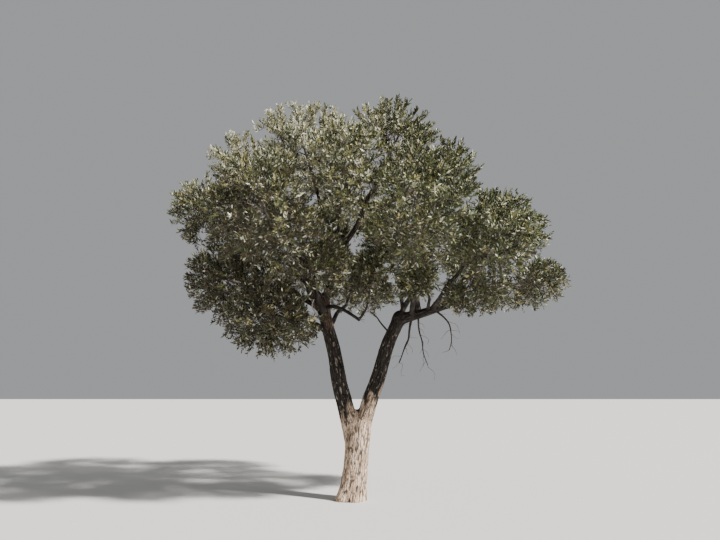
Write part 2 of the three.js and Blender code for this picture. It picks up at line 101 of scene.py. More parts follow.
# Boughs, under the limb that carries them: share along that limb, a point on the way, where it ends
# (a mass, or its own tip) and its radii.
BOUGHS = {
    "left_limb": {
        "left_rise": (0.97, (-0.9, 0.33, 3.55), "left_crown", 0.058, 0.026),
        "centre_rise": (0.985, (-0.11, 0.05, 3.6), "top_crown", 0.056, 0.026),
        "left_arch": (0.94, (-0.83, -0.04, 2.85), "left_skirt", 0.05, 0.022),
        "cut_stub": (0.96, (-0.49, -0.03, 2.71), (-0.535, -0.1, 2.81), 0.076, 0.07),
        "front_left_bough": (0.9, (-0.64, -0.76, 3.12), "front_left", 0.042, 0.02),
        "back_left_bough": (0.87, (-0.76, 0.76, 3.1), "back_left", 0.046, 0.022),
        "back_bough": (0.79, (-0.18, 0.88, 2.76), "back_skirt", 0.038, 0.02),
        "left_low_bough": (0.72, (-0.5, -0.12, 2.4), "left_low", 0.04, 0.02),
        "dipping_branch": (0.95, (-0.19, -0.17, 2.64), (0.11, -0.3, 2.45), 0.03, 0.021),
        "low_left_bough": (0.86, (-0.48, -0.36, 2.76), "low_left", 0.028, 0.015),
        "dead_shoot": (0.87, (-0.56, -0.1, 2.62), (-0.53, -0.15, 2.81), 0.013, 0.006),
    },
    "right_limb": {
        "right_level": (0.975, (1.39, -0.05, 2.69), "right_skirt", 0.074, 0.024),
        "back_right_bough": (0.89, (0.98, 0.76, 3.12), "back_right", 0.046, 0.022),
        "bare_shoot": (0.8, (0.375, -0.07, 2.49), (0.262, -0.12, 2.6), 0.014, 0.006),
    },
    "left_arch": {"left_tip_bough": (0.42, (-1.38, -0.11, 3.42), "left_tip", 0.034, 0.018)},
    "left_rise": {"heart_left_bough": (0.1, (-0.545, 0.06, 3.04), "heart_left", 0.03, 0.017)},
    "centre_rise": {
        "front_centre_bough": (0.3, (-0.2, -0.56, 3.75), "front_centre", 0.038, 0.02),
        "mid_crown_bough": (0.38, (-0.4, -0.16, 3.96), "mid_crown", 0.042, 0.02),
        "back_crown_bough": (0.45, (-0.11, 0.56, 3.96), "back_crown", 0.044, 0.022),
    },
    "right_level": {
        "right_rise": (0.2, (1.01, 0.13, 3.35), "right_crown", 0.042, 0.022),
        "front_right_bough": (0.13, (0.86, -0.66, 3.06), "front_right", 0.036, 0.02),
        "heart_right_bough": (0.04, (0.74, 0.04, 2.99), "heart_right", 0.03, 0.016),
        "low_right_bough": (0.3, (1.1, -0.24, 2.8), "low_right", 0.024, 0.014),
        "right_diagonal": (0.44, (1.7, 0.02, 3.13), "far_right", 0.042, 0.02),
        "near_right_bough": (0.34, (1.38, -0.54, 2.96), "near_right", 0.036, 0.018),
        "right_low_bough": (0.5, (1.47, -0.13, 2.72), "right_low", 0.024, 0.014),
        "hanging_left": (0.13, (0.8, 0.02, 2.19), (0.68, 0.02, 1.87), 0.019, 0.006),
        "hanging_middle": (0.2, (1.0, -0.01, 2.17), (1.09, 0, 1.84), 0.014, 0.005),
        "hanging_right": (0.36, (1.425, -0.03, 2.38), (1.4, -0.03, 2.05), 0.015, 0.005),
    },
    "dipping_branch": {"dipping_rise": (0.97, (0.18, -0.37, 2.56), "low_centre", 0.019, 0.013)},
}
ENTRY = 0.6  # share of a mass's half-width at which its bough ends
CROOK = 0.022  # how far a limb strays from its arc, as a share of its length
# Its waves along X, Y and Z: the radians that each turns through, its sign, shift and size.
CROOK_WAVES = np.array(((9.0, 1, 0, 1), (7.0, 1, math.pi / 2, 1), (8.0, -1, 0, 0.6))).T
COLLAR = 0.3  # how much a bough widens at its root, as a share of its radius there
COLLAR_LENGTH = 0.09  # share of the bough over which that dies away
HEAD_LENGTH = 0.06
FEWEST_RINGS = 8

# The gaps right through the crown: round ways kept clear of leaves, each with its two ends and its
# radius. They are narrower than in the solids, as sprays veil their edges.
GAPS = (
    ((0.05, -2.5, 2.95), (0.05, 2.6, 4.14), 0.015),
    ((1.29, -2.0, 2.81), (1.89, 2.5, 3.69), 0.035),
)
# The foliage is open in front of the left limb's cut head too.
OPENING = ((-0.33, -1.9, 2.42), (-0.455, -0.1, 2.665), 0.15)

# The stem of a mass and the twigs on it, as the solids have them.
STEM = Rule(
    past_middle=0.35, taper=0.25, samples=9, sides=6,
    last_step=0.001,  # share of the bough that shows which way its tip points
)
TWIG = Rule(
    area=1.9,  # surface of the mass that one twig serves
    least_room=0.24, root_band=(0.12, 0.95), least_share=0.4,
    spray=0.61,  # length of the spray at the twig's tip
    rise=0.05,  # how far it bows upwards, as a share of its length
    stray=0.04, radius=(0.012, 0.006), rings=7, sides=5,
)
REACH_STEP = 0.03
LIMB_SPARE = 0.02

# Finer twigs. Branchlets leave the nearest wood towards even directions, and shoots leave them all round.
BRANCHLET = Rule(
    area=0.132, first_turn=2.0, uneven=0.08,
    root_depth=0.42,  # share of the reach at which its wood is looked for
    short_of_end=0.15,  # left for its last shoots
    least_length=0.16,
    shaded=0.42,  # share of them that live behind another mass
    open_reach=0.94,  # with this share of the half-width free, nothing stands before it
    rise=0.1, stray=0.09, radius=(0.0065, 0.0024), rings=5, sides=4,
    outer=0.6,  # share of an open branchlet past which its leaves show
)
# Masses fuller or thinner than the rest, for their surface.
FULLNESS = {
    "front_left": 1.25, "front_centre": 1.25, "front_right": 1.2, "mid_crown": 1.15, "left_tip": 1.2,
    "left_skirt": 1.8, "left_low": 2.3, "low_left": 2.6, "low_centre": 2.6, "low_right": 5.0,
    "right_low": 2.8, "right_skirt": 1.8, "near_right": 1.5, "heart_left": 1.5, "heart_right": 1.7,
    "back_skirt": 1.2, "back_crown": 0.66, "back_right": 0.7, "back_left": 0.7,
}
SHOOT = Rule(
    per_metre=31, fewest=6, most=24,
    first=0.22,  # share of the branchlet at which they begin
    spread=(1.1, 0.35),  # radians, at the branchlet's root and at its tip
    spread_range=(0.8, 1.2),
    lift=(0.4, 0.95),  # how far it turns upwards, in the skirts and at the top of the crown
    lift_heights=(3.6, 5.0), length=(0.17, 0.12), length_range=(0.8, 1.25),
    shortened=0.55,  # tried where the whole length has no room
    radius=(0.0024, 0.001), sides=3,
    bare=0.3,  # share of the low shoots that have lost their leaves
    bare_heights=(3.6, 2.9),
)
LEAF = Rule(
    pairs=7,
    first=0.14,  # share of the shoot at which the pairs begin
    length=0.0585, length_spread=0.16,
    length_limit=2,  # spreads
    shrink=(1.08, 0.82),  # share of the length, from the first pair to the last
    width=0.29,  # share of the length
    angle=(1.0, 0.4),  # radians, at the first pair and at the last
    angle_range=(0.75, 1.25),
    tumble=0.55,  # radians that a leaf is turned out of its place
    lift=0.22, curl=0.12, curl_range=(-0.3, 1.7),
    past_tip=0.05,  # how far the leaves reach past the shoot's tip
)
# A leaf's outline: the shares of its length with its half-width there, as a share of its width. Leaves
# inside the crown are plainer.
OUTER_LEAF, INNER_LEAF = ((0.3, 0.5), (0.68, 0.41)), ((0.44, 0.52),)

# Plain colours of the leaves, dealt out by spray. The deep colour is that of leaves in shadow, painted
# shade, and the straw one that of sunlit leaves, painted sunlight; the brown one is dry leaves. Each has its
# share of the sprays, and what it gains on the top left, which is bright with silver undersides and painted
# sunlight, in the lower left and the low parts, which are painted shade, and on the green right side.
LEAF_KINDS = {
    "deep": ((0.034, 0.035, 0.016), (0.3, -0.25, 0.6, 0.1)),
    "brown": ((0.07, 0.052, 0.027), (0.03, -0.03, 0.85, -0.02)),
    "green": ((0.07, 0.09, 0.033), (0.3, -0.12, -0.05, 0.3)),
    "olive": ((0.185, 0.182, 0.066), (0.25, 0.05, -0.14, 0.05)),
    "silver": ((0.53, 0.53, 0.42), (0.07, 0.75, -0.04, -0.03)),
    "straw": ((0.42, 0.37, 0.17), (0.05, 0.08, -0.03, -0.01)),
}
LEAST_CHANCE = 0.01
# Where those parts of the crown begin and are full: heights, and places from left to right. The top left is
# partly silver undersides and partly painted sunlight; the lower left and the low parts are painted shade.
SILVER_AND_SUNLIT = Rule(heights=(4.0, 5.1), across=(0.9, -0.9), ragged=0.2)
PAINTED_SHADE = Rule(heights=(4.4, 3.2), across=(0.5, -1.3), foot=(3.6, 2.7), foot_share=0.6)
GREEN_SIDE = (0.2, 1.6)
MIXED_LEAVES = 0.45  # share of single leaves that don't keep to their spray's colour
TURNED_LEAVES = 0.055  # share of single leaves that show the silver underside

# Fine bare twigs on the branches that hang clear of the foliage, and on boughs that show below it.
SIDE_TWIG = Rule(
    on=("hanging", "bare", "dead", "dipping", "heart", "low_right", "front_right", "low_left", "left_low"),
    count=9, first=0.12,
    step_back=0.02,  # share of the branch that shows which way it goes
    spread=0.9, length=(0.08, 0.26), rise=0.0, stray=0.12, radius=(0.0036, 0.0015), rings=6,
    sides=3, relief=0.8,
)

BARK = Rule(
    voxel=0.0104, sides=16,
    fillet=0.012,  # how far two limbs run into each other where they meet
    fillet_limit=40,  # distance over the fillet past which a limb no longer counts
    near=0.1,  # distance from a limb within which it is looked at
    settle_rounds=3,
    thick=0.045,  # a bough with a larger first radius is part of the one bark mesh
    depth_share=0.05,  # depth of a fissure, as a share of the limb's radius
    depth_most=0.0075,
    level=0.75,  # height of the bark that lies at the limb's own radius
    lump=0.05, lump_size=0.3, grain_start=5.0,
    grain_shift=3.7,  # from limb to limb, so that no two are alike
)
PLATES = Rule(
    width=0.025,
    stretch=8.5,  # how much longer than wide they are
    fissure=0.26,  # noise below this is a fissure
    bend_scale=0.5, fine_scale=2.7,
    fine_share=0.45,  # share of the height that the fine fissures take
)
THIN_LIMB = Rule(
    sides=10, ring_step=0.022,
    relief=0.12,  # share of the radius
    level=0.6, grain_scale=2, grain_start=9.0, grain_shift=2.3,
)
# Where the pale bark of the trunk gives way to the dark of the limbs, which is partly their own darker bark
# and partly painted shade.
PALE = Rule(
    height=0.98, higher=0.27, right=(-0.12, 0.25), lower=0.3, behind=(-0.05, 0.14), fade=0.2,
    ragged=0.34,
    tongues=(13, 13, 3.5),  # scale of the ragged edge, drawn out upwards
)
GREY_BOUGHS = Rule(heights=(2.95, 3.3), share=0.2)  # up in the crown the boughs are greyer
# Above these heights the limbs' pale patches are dark: painted shade of the crown.
PATCHES_BELOW_SHADE = (2.5, 2.15)  # heights between which the limbs gain their pale patches
KNOT = Rule(place=np.array((0.045, -0.165, 1.165)), radius=0.045, rise=0.02)
PEELED = Rule(heights=(2.25, 2.5), across=(-0.45, -0.37), ragged=0.16, ragged_scale=9)

# Plain materials: colour, roughness, specular level, and the scale and depth of their fine ridges.
PLAIN = {
    "dead_wood": ((0.5, 0.47, 0.42), 0.8, 0.3, 200.0, 0.002),
    "twig_bark": ((0.13, 0.108, 0.09), 0.85, 0.2, 300.0, 0.001),
    "shoot_bark": ((0.2, 0.19, 0.13), 0.8, 0.3, 400.0, 0.0005),
}
LEAF_FINISH = (0.5, 0.45, 90.0, 0.0012)
RIDGE_DETAIL = 3
BUMP_STRENGTH = 0.8

CAMERA = Rule(place=(0.115, -8.5, 1.55), pitch=math.radians(11.2), lens=29.15, sensor=36.0)
STUDIO = Rule(size=120.0, floor=(0.62, 0.61, 0.59, 1), backdrop=(0.83, 0.84, 0.86, 1), strength=0.43)
KEY = Rule(
    heading=math.radians(62), height=math.radians(40), energy=10.8, angle=math.radians(4),
    color=(1.0, 0.975, 0.93),
)


# Numbers and paths


def lerp(a, b, t):
    return a + (b - a) * t


def ease(x, low, high):
    """0 before low, 1 past high and smooth between them. high may be the smaller one."""
    t = np.clip((x - low) / (high - low), 0, 1)
    return t * t * (3 - 2 * t)


def unit(v):
    return v / np.maximum(norm(v, axis=-1, keepdims=True), TINY)


def turns(count):
    """Angles spread evenly round a circle."""
    return 2 * math.pi * np.arange(count) / count


def turned(a, b, angle):
    """Directions that are an angle round from a towards b."""
    return a * np.cos(angle)[..., None] + b * np.sin(angle)[..., None]


def jitter(index, salt):
    """A number from -1 to 1 that is always the same for the same pair."""
    s = math.sin(index * HASH[0] + salt * HASH[1]) * HASH[2]
    return 2 * (s - math.floor(s)) - 1


def noises(points):
    return np.array([noise.noise(point) for point in points])


def lengths_along(path):
    """Length of a path up to each of its points."""
    return np.append(0, norm(np.diff(path, axis=0), axis=1).cumsum())


def on_path(path, at, shares):
    """Points on a path whose own points are at the shares in at."""
    return np.stack([np.interp(shares, at, path[:, axis]) for axis in range(3)], axis=1)


def frames_along(paths):
    """The way forward and two ways across it at each point of each path, turned evenly."""
    forward = unit(np.gradient(paths, axis=-2))
    least = np.abs(paths[..., -1, :] - paths[..., 0, :]).argmin(axis=-1)
    reference = np.eye(3)[least][..., None, :]
    side = unit(np.cross(reference, forward))
    return forward, side, np.cross(forward, side)


def bowed(roots, tips, rule, rng):
    """Paths from roots to tips that bow upwards and stray a little."""
    t = np.linspace(0, 1, rule.rings)[None, :, None]
    length = norm(tips - roots, axis=1)[:, None, None]
    aside = rng.normal(size=(len(roots), 1, 3)) * rule.stray
    wave = rng.normal(size=(len(roots), 1, 3)) * rule.stray / 2
    straight = lerp(roots[:, None], tips[:, None], t)
    bow = np.sin(math.pi * t) * (aside + rule.rise * UP)
    return straight + length * (bow + np.sin(2 * math.pi * t) * wave)


# The limbs


class Arc:
    """A limb's middle line: an arc through three points, with a slow crook either side of it."""

    def __init__(self, start, via, tip, crook=0.0, salt=0):
        self.start, via, self.tip = (np.array(p, float) for p in (start, via, tip))
        self.bend = 2 * via - (self.start + self.tip) / 2
        self.stray = crook * norm(self.tip - self.start)
        self.phase = math.pi * jitter(salt, 1)

    def points(self, shares):
        t = np.atleast_1d(np.asarray(shares, float))[:, None]
        arc = (1 - t) ** 2 * self.start + 2 * t * (1 - t) * self.bend + t * t * self.tip
        turn, sign, shift, size = CROOK_WAVES
        waves = np.sin(turn * t + self.phase * sign + shift) * size
        return arc + self.stray * np.sin(math.pi * t) ** 2 * waves


class Limb:
    """The trunk or a limb: its middle line in short straight steps, and its radius."""

    STEP = 0.03

    def __init__(self, name, curve, radius_at):
        self.name, self.curve, self.radius_at = name, curve, radius_at
        length = norm(curve.points(0.5) - curve.points(0)) * 2
        self.shares = np.linspace(0, 1, max(FEWEST_RINGS, round(length / self.STEP)))
        self.line = curve.points(self.shares)
        self.along = lengths_along(self.line)
        _, self.side, self.third = frames_along(self.line)
        self.girth = float(np.mean(radius_at(self.shares)))

    def surface(self, points):
        """Which points are near the limb, and for them the share along it, the distance from its
        surface and the angle round it."""
        margin = np.max(self.radius_at(self.shares, TRUNK.buttress_heading)) + BARK.near
        low, high = self.line.min(axis=0) - margin, self.line.max(axis=0) + margin
        near = np.flatnonzero(((points > low) & (points < high)).all(axis=1))
        steps = np.diff(self.line, axis=0)
        away = points[near, None] - self.line[None, :-1]
        t = np.clip((away * steps).sum(axis=2) / (steps * steps).sum(axis=1), 0, 1)
        gaps = norm(away - t[..., None] * steps, axis=2)
        best = gaps.argmin(axis=1)
        rows = np.arange(len(near))
        t = t[rows, best]
        out = points[near] - lerp(self.line[best], self.line[best + 1], t[:, None])
        angle = np.arctan2((out * self.third[best]).sum(axis=1), (out * self.side[best]).sum(axis=1))
        share = lerp(self.shares[best], self.shares[best + 1], t)
        return near, share, gaps[rows, best] - self.radius_at(share, angle), angle

    def grain(self, angle, along):
        """Where a point lies in the bark's grain: round a limb of even girth, and along it."""
        return np.column_stack((self.girth * np.cos(angle), self.girth * np.sin(angle), along))


def limb_radius(radius, head=0.0, collar=COLLAR):
    """Radius along a limb: an even taper, a collar where it leaves its parent and a swollen head."""
    base, end = radius

    def radius_at(share, _angle=0.0):
        taper = end + (base - end) * (1 - share)
        foot = collar * base * np.exp(-share / COLLAR_LENGTH)
        return taper + foot + head * np.exp((share - 1) / HEAD_LENGTH)

    return radius_at


def trunk_radius(share, angle=0.0):
    """Radius of the trunk, with its root flare, the big root on the left and the ribs above it."""
    height = np.maximum(0, lerp(TRUNK.start[2], TRUNK.tip[2], share))
    waist = TRUNK.waist_radius
    waisted = waist + (TRUNK.foot_radius - waist) * (1 - share) ** 2
    low, high = TRUNK.head_band
    neck = (TRUNK.head_radius - waist) * ease(share, low, high)
    dome = 1 - (1 - TRUNK.knob) * (np.maximum(0, share - high) / (1 - high)) ** 2
    spread = np.exp(-height / TRUNK.flare_height)
    towards_root = np.maximum(0, np.cos(angle - TRUNK.buttress_heading))
    root = TRUNK.buttress * spread * towards_root**3
    ribs = TRUNK.root_swell * spread * np.cos(TRUNK.roots * angle)
    return (waisted + neck) * dome + TRUNK.flare * spread + root + ribs


def grow_limbs(crown):
    """The trunk, the two limbs and the boughs, and which bough carries each mass."""
    grown, carriers = {}, {}

    def add(name, start, via, tip, radius_at, crook=CROOK):
        grown[name] = Limb(name, Arc(start, via, tip, crook, len(grown)), radius_at)

    for name, (start, via, tip, radius, crook, head) in LIMBS.items():
        add(name, start, via, tip, limb_radius(radius, head, collar=0.0), crook)
    for parent, boughs in BOUGHS.items():
        for name, (share, via, end, *radius) in boughs.items():
            to_mass = end in MASSES
            tip = crown.entry(crown.names.index(end), via) if to_mass else end
            add(name, grown[parent].curve.points(share)[0], via, tip, limb_radius(radius))
            if to_mass:
                carriers[end] = grown[name]
    add("trunk", TRUNK.start, TRUNK.via, TRUNK.tip, trunk_radius, crook=0.0)
    return grown, carriers


def wood_test(limbs):
    """A test for points that lie on or in a limb."""
    samples = []
    for limb in limbs:
        samples += zip(limb.line, limb.radius_at(limb.shares))
    tree = KDTree(len(samples))
    for index, (point, _) in enumerate(samples):
        tree.insert(point, index)
    tree.balance()

    def touches(points):
        found = (tree.find(point) for point in points)
        return np.array([gap < samples[index][1] + LIMB_SPARE for _, index, gap in found], bool)

    return touches


# Meshes from arrays


def tubes(paths, radii, sides):
    """Closed tubes along many paths of the same number of rings: their corners and triangles."""
    count, rings, _ = paths.shape
    _, side, third = frames_along(paths)
    ring = turned(side[:, :, None], third[:, :, None], turns(sides))
    corners = paths[:, :, None] + np.broadcast_to(radii, (count, rings, sides))[..., None] * ring
    one = []
    for row in range(rings - 1):
        for k in range(sides):
            a, b = row * sides + k, row * sides + (k + 1) % sides
            one += [(a, b, b + sides), (a, b + sides, a + sides)]
    last = (rings - 1) * sides
    for k in range(1, sides - 1):
        one += [(0, k + 1, k), (last, last + k, last + k + 1)]
    starts = np.arange(count)[:, None, None] * rings * sides
    return corners.reshape(-1, 3), (np.array(one) + starts).reshape(-1, 3)


def tapered(paths, radii, sides):
    """Tubes whose radius goes evenly from the first of the radii to the last."""
    return tubes(paths, np.linspace(*radii, paths.shape[1])[None, :, None], sides)


def mesh_from(name, parts):
    """One mesh of several (corners, triangles)."""
    starts = np.cumsum([0] + [len(points) for points, _ in parts])
    corners = np.concatenate([points for points, _ in parts])
    triangles = np.concatenate([faces + start for (_, faces), start in zip(parts, starts)])
    mesh = bpy.data.meshes.new(name)
    mesh.vertices.add(len(corners))
    mesh.vertices.foreach_set("co", corners.astype(np.float32).ravel())
    mesh.loops.add(3 * len(triangles))
    mesh.loops.foreach_set("vertex_index", triangles.astype(np.int32).ravel())
    mesh.polygons.add(len(triangles))
    mesh.polygons.foreach_set("loop_start", np.arange(0, 3 * len(triangles), 3, dtype=np.int32))
    mesh.update(calc_edges=True)
    mesh.shade_smooth()
    return mesh


def set_attributes(mesh, **layers):
    for name, values in layers.items():
        kind, field = ("FLOAT_VECTOR", "vector") if values.ndim == 2 else ("FLOAT", "value")
        layer = mesh.attributes.new(name, kind, "POINT")
        layer.data.foreach_set(field, values.astype(np.float32).ravel())


def placed(name, data):
    """A new object in the scene."""
    thing = bpy.data.objects.new(name, data)
    bpy.context.scene.collection.objects.link(thing)
    return thing


def add_piece(name, mesh, materials, stands_for, kinds=None):
    """Puts a mesh in the scene as a piece that takes the place of its solids."""
    piece = placed(name, mesh)
    for material in materials:
        mesh.materials.append(material)
    if kinds is not None:
        mesh.polygons.foreach_set("material_index", kinds.astype(np.int32))
    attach(piece, "root")
    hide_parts(*stands_for)


# The bark


def bark_field(limbs, points):
    """Distance from the limbs' joint surface, and for each point how its nearest limb lies to it."""
    fillet, limit = BARK.fillet, BARK.fillet_limit
    total = np.zeros(len(points))
    closest = np.ones(len(points))
    grain = np.zeros((len(points), 3))
    owner = np.zeros(len(points), int)
    for index, limb in enumerate(limbs):
        near, share, distance, angle = limb.surface(points)
        total[near] += np.exp(np.clip(-distance / fillet, -limit, limit))
        better = distance < closest[near]
        spots = near[better]
        closest[spots] = distance[better]
        along = np.interp(share[better], limb.shares, limb.along) + BARK.grain_shift * index
        grain[spots] = limb.grain(angle[better], along)
        owner[spots] = index
    return -fillet * np.log(np.maximum(total, TINY)), grain, owner


def fissures(grain, start):
    """Height of the bark at each point, from 0 in a fissure to 1 on a plate."""
    scale = np.array((1, 1, 1 / PLATES.stretch)) / PLATES.width
    heights = np.empty(len(grain))
    for i, place in enumerate(grain * scale + start):
        bend = noise.noise(place * PLATES.bend_scale)
        wide = abs(noise.noise((place[0] + bend, place[1] - bend, place[2] + bend)))
        fine = abs(noise.noise(place * PLATES.fine_scale))
        wide, fine = (min(1, depth / PLATES.fissure) for depth in (wide, fine))
        heights[i] = wide * (1 - PLATES.fine_share + PLATES.fine_share * fine)
    return heights


def vertex_normals(corners, faces):
    a, b, c, d = (corners[faces[:, k]] for k in range(4))
    across = np.cross(c - a, d - b)
    normals = np.zeros_like(corners)
    for k in range(4):
        for axis in range(3):
            normals[:, axis] += np.bincount(faces[:, k], across[:, axis], len(corners))
    return unit(normals)


def remeshed(parts):
    """The closed tubes as one even mesh of four-sided faces."""
    rough = placed("rough_bark", mesh_from("rough_bark", parts))
    modifier = rough.modifiers.new("voxels", "REMESH")
    modifier.mode = "VOXEL"
    modifier.voxel_size = BARK.voxel
    graph = bpy.context.evaluated_depsgraph_get()
    even = bpy.data.meshes.new_from_object(rough.evaluated_get(graph))
    bpy.data.objects.remove(rough)
    points = np.empty(3 * len(even.vertices), np.float32)
    even.vertices.foreach_get("co", points)
    faces = np.empty(4 * len(even.polygons), np.int32)
    even.loops.foreach_get("vertex_index", faces)
    return even, points.reshape(-1, 3).astype(float), faces.reshape(-1, 4)


def cut_level(mesh):
    """Cuts the mesh off flat at the ground and closes it there."""
    shape = bmesh.new()
    shape.from_mesh(mesh)
    parts = [*shape.verts, *shape.edges, *shape.faces]
    bmesh.ops.bisect_plane(shape, geom=parts, plane_co=(0, 0, 0), plane_no=(0, 0, 1), clear_inner=True)
    bmesh.ops.holes_fill(shape, edges=[edge for edge in shape.edges if edge.is_boundary])
    shape.to_mesh(mesh)
    shape.free()


def dark_and_shaded_limbs(corners):
    """0 on the pale trunk to 1 on the dark limbs, whose dark is partly their own darker bark and partly
    painted
    shade: the crown's shadow on the limbs, and the shaded left and back. Its ragged edge is higher at the
    right, lower behind.
    """
    ragged = noises(corners * PALE.tongues) * PALE.ragged
    edge = PALE.height + PALE.higher * ease(corners[:, 0], *PALE.right)
    edge -= PALE.lower * ease(corners[:, 1], *PALE.behind)
    dark_and_shade = ease(corners[:, 2] + ragged - edge, 0, PALE.fade)
    return dark_and_shade - GREY_BOUGHS.share * ease(corners[:, 2], *GREY_BOUGHS.heights)


def peeled_wood(corners, owner, names):
    """1 on the brown bared wood round the left limb's cut head, fading out down its front."""
    ragged = noises(corners * PEELED.ragged_scale) * PEELED.ragged
    along = ease(corners[:, 2] + ragged, *PEELED.heights)
    inner = ease(corners[:, 0] + ragged, *PEELED.across)
    limb, stub = (owner == names.index(name) for name in ("left_limb", "cut_stub"))
    return np.where(stub, along, limb * along * inner)


def make_bark(limbs, material):
    """One mesh for the trunk and the thick boughs, with plates and fissures along each of them."""
    names, sides = [limb.name for limb in limbs], BARK.sides
    radii = [limb.radius_at(limb.shares[:, None], turns(sides)) for limb in limbs]
    rough = [tubes(limb.line[None], radius[None], sides) for limb, radius in zip(limbs, radii)]
    mesh, corners, faces = remeshed(rough)
    for _ in range(BARK.settle_rounds):
        distance, grain, owner = bark_field(limbs, corners)
        corners -= vertex_normals(corners, faces) * distance[:, None]
    girth = np.array([limb.girth for limb in limbs])[owner]
    height = fissures(grain, BARK.grain_start)
    lumps = noises(corners / BARK.lump_size)
    depth = np.minimum(BARK.depth_share * girth, BARK.depth_most)
    from_knot = norm(corners - KNOT.place, axis=1) / KNOT.radius
    knot = KNOT.rise * np.exp(-(from_knot**4))
    rise = depth * (height - BARK.level) + BARK.lump * girth * lumps + knot
    corners += vertex_normals(corners, faces) * rise[:, None]
    mesh.vertices.foreach_set("co", corners.astype(np.float32).ravel())
    # The limbs' dark, and their patches gone dark up in the crown, are partly painted shade.
    tone, peeled = dark_and_shaded_limbs(corners), peeled_wood(corners, owner, names)
    patchy = ease(corners[:, 2], *PATCHES_BELOW_SHADE)
    set_attributes(mesh, grain=grain, relief=height, tone=tone, patchy=patchy, peeled=peeled)
    cut_level(mesh)
    mesh.shade_smooth()
    add_piece("bark", mesh, [material], names)


def branch(limb, index):
    """A thin limb as a tube with fine ridges: its mesh, its grain and its relief."""
    rule, sides = THIN_LIMB, THIN_LIMB.sides
    rings = max(FEWEST_RINGS, round(limb.along[-1] / rule.ring_step))
    shares = np.linspace(0, 1, rings)
    along = shares * limb.along[-1] + rule.grain_shift * index
    grain = limb.grain(np.tile(turns(sides), rings), np.repeat(along, sides))
    height = fissures(grain * rule.grain_scale, rule.grain_start)
    relief = 1 + rule.relief * (height.reshape(rings, sides) - rule.level)
    radii = limb.radius_at(shares)[:, None] * relief
    return tubes(limb.curve.points(shares)[None], radii[None], sides), grain, height


def side_twigs(limb, rng):
    """Fine bare twigs on a branch, forward and to all sides: their mesh, grain and relief."""
    rule = SIDE_TWIG
    share = np.linspace(rule.first, 1, rule.count)
    roots = limb.curve.points(share)
    forward = unit(roots - limb.curve.points(share - rule.step_back))
    heading = unit(forward + rule.spread * unit(rng.normal(size=roots.shape)))
    length = lerp(*rule.length, rng.uniform(size=(len(roots), 1)))
    paths = bowed(roots, roots + heading * length, rule, rng)
    twigs = tapered(paths, rule.radius, rule.sides)
    return twigs, twigs[0], np.full(len(twigs[0]), rule.relief)


def make_branches(limbs, materials):
    """The thinner boughs and the bare branches, as one mesh of fine tubes. Dead ones are grey."""
    rng = np.random.default_rng(SEED)
    twiggy = [limb for limb in limbs if limb.name.startswith(SIDE_TWIG.on)]
    made = [branch(limb, index) for index, limb in enumerate(limbs)]
    made += [side_twigs(limb, rng) for limb in twiggy]
    parts, grains, heights = zip(*made)
    mesh = mesh_from("branches", parts)
    set_attributes(mesh, grain=np.concatenate(grains), relief=np.concatenate(heights))
    dead = [limb.name.startswith("dead") for limb in limbs + twiggy]
    kinds = np.repeat(dead, [len(triangles) for _, triangles in parts])
    add_piece("branches", mesh, materials, [limb.name for limb in limbs], kinds)


# The crown


class Crown:
    """The spaces of all masses: ellipsoids, cut by a plane between each two neighbours."""

    def __init__(self, masses):
        self.names = list(masses)
        self.middle, self.half = np.hsplit(np.array(list(masses.values())), 2)
        self.weight = self.half.mean(axis=1) ** 2

    def out(self, own, headings, shares):
        """Points at shares of the half-widths from the middle of a mass."""
        return self.middle[own] + headings * self.half[own] * np.asarray(shares)[..., None]

    def entry(self, own, point):
        """Where a bough that comes from a point ends."""
        towards = unit((np.array(point) - self.middle[own]) / self.half[own])
        return self.out(own, towards, ENTRY)

    def free(self, points, own):
        """True where a point lies in the mass's own space and in no gap."""
        depth = norm((points - self.middle[own]) / self.half[own], axis=1)
        claims = ((points[:, None] - self.middle) ** 2).sum(axis=2) - self.weight
        return (depth < 1) & (claims.argmin(axis=1) == own) & ~in_gap(points)

    def reach(self, own, headings):
        """How far out each heading stays in the mass's space, as a share of its half-widths."""
        shares = np.arange(1, 0, -REACH_STEP)
        points = self.out(own, headings[:, None], shares)
        free = self.free(points.reshape(-1, 3), own).reshape(len(headings), -1)
        return np.where(free.any(axis=1), shares[free.argmax(axis=1)], 0)

    def tips(self, own, headings, reach, short, least=0.0):
        """Points a length short of each reach's end, and the room from the middle to that end."""
        room = norm(self.out(own, headings, reach) - self.middle[own], axis=1)
        shares = reach * np.maximum(1 - short / np.maximum(room, TINY), least)
        return self.out(own, headings, shares), room

    def surface(self, own):
        """The ellipsoid's surface, by a well-known close formula."""
        power = 1.6
        a, b, c = self.half[own] ** power
        return 4 * math.pi * ((a * b + a * c + b * c) / 3) ** (1 / power)


def in_gap(points):
    """True where a point is in one of the gaps through the crown."""
    inside = np.zeros(len(points), bool)
    for near, far, radius in (*GAPS, OPENING):
        way = np.subtract(far, near)
        t = np.clip((points - near) @ way / (way @ way), 0, 1)[:, None]
        inside |= norm(points - near - t * way, axis=1) < radius
    return inside


def even_headings(count, first_turn):
    """Directions spread evenly over the sphere."""
    k = np.arange(count)
    rise = 1 - (2 * k + 1) / count
    level = np.sqrt(1 - rise * rise)
    turn = k * GOLDEN_TURN + first_turn
    return np.stack((level * np.cos(turn), level * np.sin(turn), rise), axis=1)


def stem_of(crown, own, bough):
    """The stem of a mass: it goes on from its bough's tip, in the same direction, past the middle."""
    before, start = bough.curve.points((1 - STEM.last_step, 1.0))
    inward = crown.middle[own] - start
    tip = crown.middle[own] + STEM.past_middle * inward
    bend = start + unit(start - before) * norm(inward) / 2
    stem = Arc(start, (start + tip) / 4 + bend / 2, tip)
    return stem.points(np.linspace(0, 1, STEM.samples)), unit(inward)


